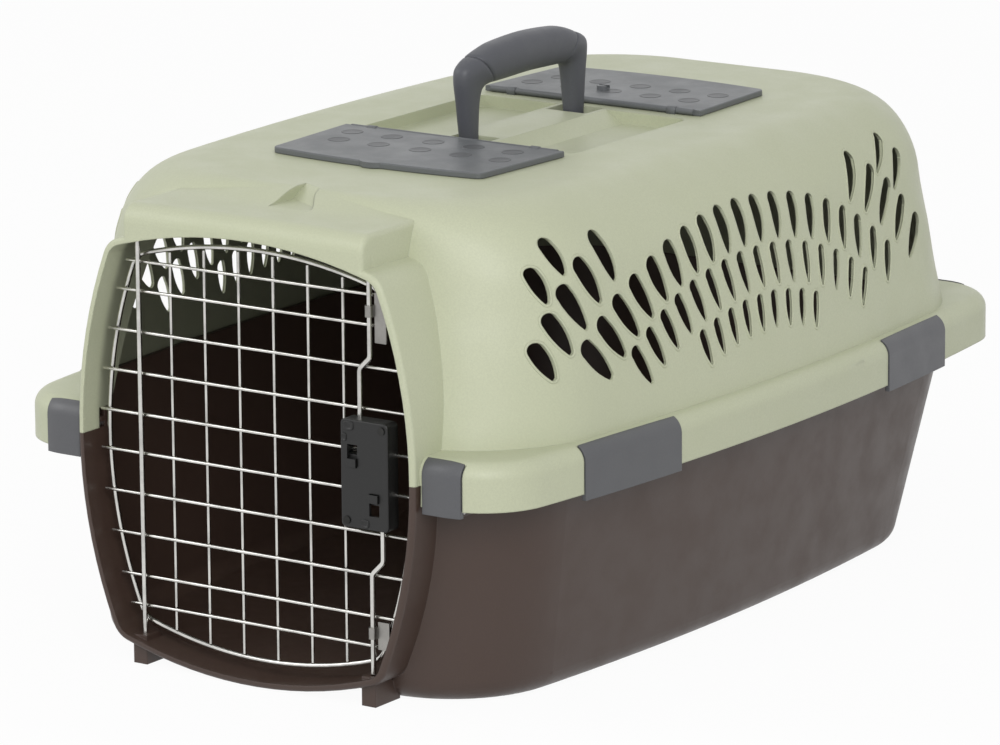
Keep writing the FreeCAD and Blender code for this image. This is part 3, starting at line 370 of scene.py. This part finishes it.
# Each station: outer y and z, inner y and z, half width, in millimetres, from the front foot to the crown.
FRONT_STATIONS = (
    (-63.7, 275.0, -55.2, 275.0, 5.2),
    (-65.9, 290.0, -54.8, 289.5, 5.4),
    (-68.2, 305.0, -54.2, 304.0, 5.7),
    (-70.2, 319.0, -53.2, 315.5, 6.1),
    (-71.8, 331.0, -51.6, 322.0, 6.8),
    (-70.5, 338.5, -49.2, 325.0, 7.6),
    (-65.0, 342.5, -45.6, 326.3, 8.5),
    (-57.0, 345.3, -41.0, 326.9, 9.5),
    (-44.0, 348.7, -35.5, 327.0, 10.2),
    (-30.0, 351.0, -24.0, 327.2, 10.6),
    (0.0, 352.4, 0.0, 327.8, 10.9),
)
REAR_STATIONS = (
    (30.0, 351.0, 24.0, 327.2, 10.6),
    (42.0, 348.8, 33.0, 326.9, 10.2),
    (52.0, 345.3, 36.0, 326.8, 9.6),
    (60.0, 342.5, 39.5, 326.3, 8.6),
    (65.3, 338.5, 42.5, 325.2, 7.8),
    (66.2, 331.0, 44.6, 322.5, 7.1),
    (64.9, 319.0, 46.2, 315.0, 6.5),
    (63.6, 305.0, 47.9, 303.0, 6.1),
    (62.4, 290.0, 49.8, 289.0, 5.7),
    (61.4, 275.0, 51.4, 275.0, 5.4),
)
FRONT_SEAM = 7
REAR_SEAM = 13
HANDLE_STEPS = 6
HANDLE_COUNT = 40
HANDLE_SQUARENESS = 2.6
GRIP_SWELL = 1.015
SEAM_SHRINK = 0.93


def through(before, start, end, after, share):
    """The smooth curve from start to end, with its neighbours, at a share of the way."""
    values = []
    for a, b, c, d in zip(before, start, end, after):
        values.append(0.5 * (2.0 * b + (c - a) * share + (2.0 * a - 5.0 * b + 4.0 * c - d) * share ** 2
                             + (3.0 * b - a - 3.0 * c + d) * share ** 3))
    return values


def handle_path():
    """Close stations along the whole handle, HANDLE_STEPS to each one written above."""
    stations = FRONT_STATIONS + REAR_STATIONS
    path = []
    for index in range(len(stations) - 1):
        before = stations[max(0, index - 1)]
        after = stations[min(len(stations) - 1, index + 2)]
        for step in range(HANDLE_STEPS):
            path.append(through(before, stations[index], stations[index + 1], after, step / HANDLE_STEPS))
    path.append(list(stations[-1]))
    return path


def handle_ring(station, swell):
    outer_y, outer_z, inner_y, inner_z, half_width = station
    outer = place(0.0, outer_y, outer_z)
    inner = place(0.0, inner_y, inner_z)
    across = (outer - inner) * 0.5 * swell
    along = Vector((half_width * MM * swell, 0.0, 0.0))
    return rounded_ring((outer + inner) * 0.5, across, along, HANDLE_SQUARENESS, HANDLE_COUNT)


def handle():
    """The bail's two legs, and the grip between them, which meet at two narrow seams."""
    path = handle_path()
    front = FRONT_SEAM * HANDLE_STEPS
    rear = REAR_SEAM * HANDLE_STEPS
    legs = Mesh()
    for stretch, seam_first in ((path[:front], False), (path[rear + 1:], True)):
        rings = [handle_ring(station, 1.0) for station in stretch]
        seam = handle_ring(path[rear] if seam_first else path[front], SEAM_SHRINK)
        legs.loft([seam] + rings if seam_first else rings + [seam])
    leg_piece = piece("handle_legs", legs.points, legs.faces, handle_slate, "handle")
    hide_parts("handle_bail")

    grip = Mesh()
    rings = [handle_ring(station, GRIP_SWELL) for station in path[front + 1:rear]]
    grip.loft([handle_ring(path[front], SEAM_SHRINK)] + rings + [handle_ring(path[rear], SEAM_SHRINK)])
    grip_piece = piece("handle_bar", grip.points, grip.faces, handle_slate, "handle")
    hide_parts("handle_grip")


handle()


# Lid dots

DOT_COLUMNS = (-63.0, -33.0, -2.0, 28.0, 57.0)
FRONT_DOT_ROWS = (-96.0, -120.0)
REAR_DOT_ROWS = (102.5, 126.0)
DOT_RADIUS = 7.0
DOT_COUNT = 36
OVER_ROOF = 400.0
# Radius as a share of the dot's, and height over the lid in millimetres, from the buried edge to the dish.
DOT_PROFILE = ((1.0, -0.4), (1.0, 0.10), (0.96, 0.22), (0.90, 0.22), (0.84, 0.10), (0.5, 0.06),
               (0.05, 0.06))


def surface_of(node_name):
    data = nodes[node_name].data
    return BVHTree.FromPolygons([vertex.co for vertex in data.vertices],
                                [tuple(face.vertices) for face in data.polygons])


def lid_dots(lid_name, rows):
    """Shallow dished dots in two rows on a lid."""
    lid = surface_of(lid_name)
    dots = Mesh()
    for row_index, y in enumerate(rows):
        for x in DOT_COLUMNS:
            start = place(x + (row_index % 2) * DOT_RADIUS, y, OVER_ROOF)
            top = lid.ray_cast(start, DOWN)[0]
            if top is None:
                continue
            rings = []
            for share, height in DOT_PROFILE:
                reach = DOT_RADIUS * share * MM
                centre = top - DOWN * height * MM
                rings.append(rounded_ring(centre, Vector((reach, 0.0, 0.0)), Vector((0.0, reach, 0.0)),
                                          ROUND, DOT_COUNT))
            dots.loft(rings)
    piece(lid_name + "_dots", dots.points, dots.faces, dark_slate, lid_name)


lid_dots("front_lid", FRONT_DOT_ROWS)
lid_dots("rear_lid", REAR_DOT_ROWS)


# Lug caps

LID_HINGES = ("front_lid_hinge", "rear_lid_hinge")
LUG_X = 61.0
CAP_HALF_WIDTH = 3.15
CAP_RADIUS = 2.52
CAP_BASE = 293.6
CAP_ARC_STEPS = 16
# Inset of the outline and share of the half width, from one end of a cap to the other.
CAP_RINGS = ((0.25, -1.0), (0.0, -0.93), (0.0, 0.93), (0.25, 1.0))


def lug_caps():
    """A dark moulded cap over each lug that holds a lid's pin."""
    caps = Mesh()
    for hinge in LID_HINGES:
        pivot_x, pivot_y, pivot_z = pivot_of(hinge)
        for side in (-1.0, 1.0):
            rings = []
            for inset, share in CAP_RINGS:
                x = pivot_x + side * LUG_X + CAP_HALF_WIDTH * share
                radius = CAP_RADIUS - inset
                ring = [place(x, pivot_y + radius, CAP_BASE)]
                for step in range(CAP_ARC_STEPS + 1):
                    turn = math.pi * step / CAP_ARC_STEPS
                    ring.append(place(x, pivot_y + radius * math.cos(turn),
                                      pivot_z + radius * math.sin(turn)))
                ring.append(place(x, pivot_y - radius, CAP_BASE))
                rings.append(ring)
            caps.loft(rings)
    piece("lid_lug_caps", caps.points, caps.faces, pale_slate, "carrier")


lug_caps()


# Housing bosses

# Each boss on the latch housing's front: x, z, half width and half height, in millimetres.
BOSSES = ((76.0, 170.6, 3.6, 2.9), (72.6, 163.4, 1.9, 2.5), (87.3, 112.6, 2.9, 2.6))
BOSS_SQUARENESS = 3.2
BOSS_COUNT = 32
BEFORE_DOOR = -400.0
# Size as a share of the boss's, and height over the housing in millimetres, from buried edge to dish.
BOSS_PROFILE = ((1.0, -0.6), (1.0, 0.30), (0.93, 0.58), (0.82, 0.66), (0.66, 0.60), (0.56, 0.25),
                (0.3, 0.18), (0.05, 0.18))


def housing_bosses():
    """Small dished bosses moulded on the front of the latch housing."""
    housing = surface_of("latch_housing")
    bosses = Mesh()
    for x, z, half_width, half_height in BOSSES:
        front = housing.ray_cast(place(x, BEFORE_DOOR, z), BACKWARDS)[0]
        if front is None:
            continue
        rings = []
        for share, height in BOSS_PROFILE:
            centre = front - BACKWARDS * height * MM
            across = Vector((half_width * share * MM, 0.0, 0.0))
            along = Vector((0.0, 0.0, half_height * share * MM))
            rings.append(rounded_ring(centre, across, along, BOSS_SQUARENESS, BOSS_COUNT))
        bosses.loft(rings)
    piece("housing_bosses", bosses.points, bosses.faces, black, "door")


housing_bosses()


# Vent rims

CREASE = math.radians(50.0)
# A vent's least and greatest length, the least distance of the long sides from the middle, and the
# spacing of a rim's sections, in metres.
VENT_LEAST = 0.007
VENT_MOST = 0.050
SIDE_REACH = 0.10
RIM_STEP = 0.0012
RIM_LEAST_COUNT = 12
SIZE_STRIDE = 3
LOOP_LEAST_COUNT = 6
WALL_LEAN = 0.25
OUTER_FACING = 0.6
WELD_GAP = 1e-6
# Across the rim, away from the hole, and out of the wall, in millimetres.
RIM_PROFILE = ((-0.25, -0.7), (-0.35, -0.1), (-0.1, 0.3), (0.45, 0.5), (1.0, 0.35), (1.5, 0.0), (1.5, -0.5))


def outward(point):
    """Out of the long side that a point lies on, a little upwards as the wall leans."""
    return Vector((math.copysign(1.0, point.x), 0.0, WALL_LEAN)).normalized()


def crease_loops(mesh):
    """Closed chains of sharp edges on the shell's two long sides, as lists of vertices."""
    links = {}
    for edge in mesh.edges:
        middle = (edge.verts[0].co + edge.verts[1].co) * 0.5
        if abs(middle.x) < SIDE_REACH or len(edge.link_faces) != 2:
            continue
        if edge.calc_face_angle() > CREASE:
            for first, second in (edge.verts, reversed(edge.verts)):
                links.setdefault(first, []).append(second)
    loops = []
    used = set()
    for start in links:
        if start in used or len(links[start]) != 2:
            continue
        chain = [start]
        used.add(start)
        current = links[start][0]
        while current not in used and len(links[current]) == 2:
            chain.append(current)
            used.add(current)
            current = links[current][0] if links[current][0] not in used else links[current][1]
        if current == start and len(chain) > LOOP_LEAST_COUNT:
            loops.append(chain)
    return loops


def outer_normal(vertex):
    """The wall's outer direction beside a vertex of a vent, or None on the wall's inner side."""
    out = outward(vertex.co)
    best = max((face.normal for face in vertex.link_faces), key=lambda normal: normal.dot(out))
    return best.copy() if best.dot(out) > OUTER_FACING else None


def even_steps(points, normals, step):
    """The closed chain of points and normals, spaced evenly."""
    lengths = [(points[index - 1] - points[index]).length for index in range(len(points))]
    total = sum(lengths)
    count = max(RIM_LEAST_COUNT, round(total / step))
    places, directions = [], []
    walked, index = 0.0, 1
    for number in range(count):
        target = total * number / count
        while index < len(points) and walked + lengths[index] < target:
            walked += lengths[index]
            index += 1
        span = lengths[index % len(points)] or 1.0
        share = min(1.0, (target - walked) / span)
        places.append(points[index - 1].lerp(points[index % len(points)], share))
        directions.append(normals[index - 1].lerp(normals[index % len(points)], share).normalized())
    return places, directions


def vent_rims():
    """The raised soft edge round each vent of the upper shell."""
    shell = bmesh.new()
    shell.from_mesh(nodes["upper_shell"].data)
    bmesh.ops.remove_doubles(shell, verts=shell.verts, dist=WELD_GAP)
    shell.normal_update()
    rims = Mesh()
    for chain in crease_loops(shell):
        points = [vertex.co.copy() for vertex in chain]
        sparse = points[::SIZE_STRIDE]
        size = max((a - b).length for a in sparse for b in sparse)
        normals = [outer_normal(vertex) for vertex in chain]
        if not VENT_LEAST < size < VENT_MOST or None in normals:
            continue
        points, normals = even_steps(points, normals, RIM_STEP)
        middle = sum(points, Vector()) / len(points)
        rings = []
        for index, point in enumerate(points):
            along = (points[(index + 1) % len(points)] - points[index - 1]).normalized()
            aside = along.cross(normals[index]).normalized()
            if aside.dot(point - middle) < 0.0:
                aside = -aside
            rings.append([point + aside * side * MM + normals[index] * out * MM
                          for side, out in RIM_PROFILE])
        rims.loft(rings, closed=True)
    shell.free()
    piece("vent_rims", rims.points, rims.faces, sage, "carrier")


vent_rims()


# Camera

CAMERA_AZIMUTH = 34.46
CAMERA_ELEVATION = 13.34
CAMERA_ROLL = 0.40
CAMERA_PLACE = (2137.2, -3142.5, 1034.9)
SENSOR_WIDTH = 36.0
LENS_SHARE = 6.1788
CLIP_END = 100.0


def camera():
    azimuth = math.radians(CAMERA_AZIMUTH)
    elevation = math.radians(CAMERA_ELEVATION)
    roll = math.radians(CAMERA_ROLL)
    back = Vector((math.sin(azimuth) * math.cos(elevation), -math.cos(azimuth) * math.cos(elevation),
                   math.sin(elevation)))
    right = (-back).cross(Vector((0, 0, 1))).normalized()
    down = (-back).cross(right)
    across = right * math.cos(roll) + down * math.sin(roll)
    below = down * math.cos(roll) - right * math.sin(roll)
    matrix = Matrix((across, -below, back)).transposed().to_4x4()
    matrix.translation = place(*CAMERA_PLACE)
    data = bpy.data.cameras.new("camera")
    data.sensor_width = SENSOR_WIDTH
    data.lens = LENS_SHARE * SENSOR_WIDTH
    data.clip_end = CLIP_END
    obj = bpy.data.objects.new("camera", data)
    obj.matrix_world = matrix
    bpy.context.scene.collection.objects.link(obj)
    bpy.context.scene.camera = obj


camera()


# Light and floor

WHITE = (1.0, 1.0, 1.0, 1.0)
SKY_COLOUR = (1.0, 0.995, 0.985, 1.0)
SKY_STRENGTH = 0.55
FLOOR_GREY = (0.8, 0.8, 0.8, 1.0)
FLOOR_WHITE_SHARE = 0.95
FLOOR_REACH = 30.0
LIGHT_TARGET = (0.0, 0.0, 0.15)
# Each lamp: name, place and size in metres, and power in watts.
LAMPS = (("key", (2.0, -2.75, 2.2), 2.4, 70.0), ("fill", (-2.6, -1.8, 2.0), 2.0, 25.0))


def area_light(name, position, size, power_watts):
    data = bpy.data.lights.new(name, "AREA")
    data.shape = "DISK"
    data.size = size
    data.energy = power_watts
    obj = bpy.data.objects.new(name, data)
    obj.location = position
    aim = Vector(LIGHT_TARGET) - Vector(position)
    obj.rotation_euler = aim.to_track_quat("-Z", "Y").to_euler()
    bpy.context.scene.collection.objects.link(obj)


def seen(tree):
    """1 where the background itself is looked at, straight, in a mirror or through glass."""
    path = add(tree, "ShaderNodeLightPath")
    both = maths(tree, "MAXIMUM", path.outputs["Is Camera Ray"], path.outputs["Is Glossy Ray"])
    return maths(tree, "MAXIMUM", both, path.outputs["Is Transmission Ray"])


def world():
    made = bpy.data.worlds.new("studio")
    made.use_nodes = True
    tree = made.node_tree
    tree.nodes.clear()
    output = add(tree, "ShaderNodeOutputWorld")
    white = add(tree, "ShaderNodeBackground", {"Color": WHITE, "Strength": 1.0})
    sky = add(tree, "ShaderNodeBackground", {"Color": SKY_COLOUR, "Strength": SKY_STRENGTH})
    blend = add(tree, "ShaderNodeMixShader", {0: seen(tree), 1: sky.outputs[0], 2: white.outputs[0]})
    tree.links.new(blend.outputs[0], output.inputs["Surface"])
    bpy.context.scene.world = made


def floor():
    material = bpy.data.materials.new("floor")
    material.use_nodes = True
    tree = material.node_tree
    tree.nodes.clear()
    output = add(tree, "ShaderNodeOutputMaterial")
    white = add(tree, "ShaderNodeEmission", {"Color": WHITE, "Strength": 1.0})
    matte = add(tree, "ShaderNodeBsdfDiffuse", {"Color": FLOOR_GREY})
    bright = maths(tree, "MULTIPLY", seen(tree), FLOOR_WHITE_SHARE)
    blend = add(tree, "ShaderNodeMixShader", {0: bright, 1: matte.outputs[0], 2: white.outputs[0]})
    tree.links.new(blend.outputs[0], output.inputs["Surface"])
    mesh = bpy.data.meshes.new("floor")
    corners = [(across * FLOOR_REACH, along * FLOOR_REACH, 0.0)
               for across, along in ((-1, -1), (1, -1), (1, 1), (-1, 1))]
    mesh.from_pydata(corners, [], [(0, 1, 2, 3)])
    obj = bpy.data.objects.new("floor", mesh)
    obj.location = (0, 0, cad_box[0][2])
    bpy.context.scene.collection.objects.link(obj)
    mesh.materials.append(material)


world()
floor()
for lamp in LAMPS:
    area_light(*lamp)
bpy.context.scene.view_settings.view_transform = "Standard"
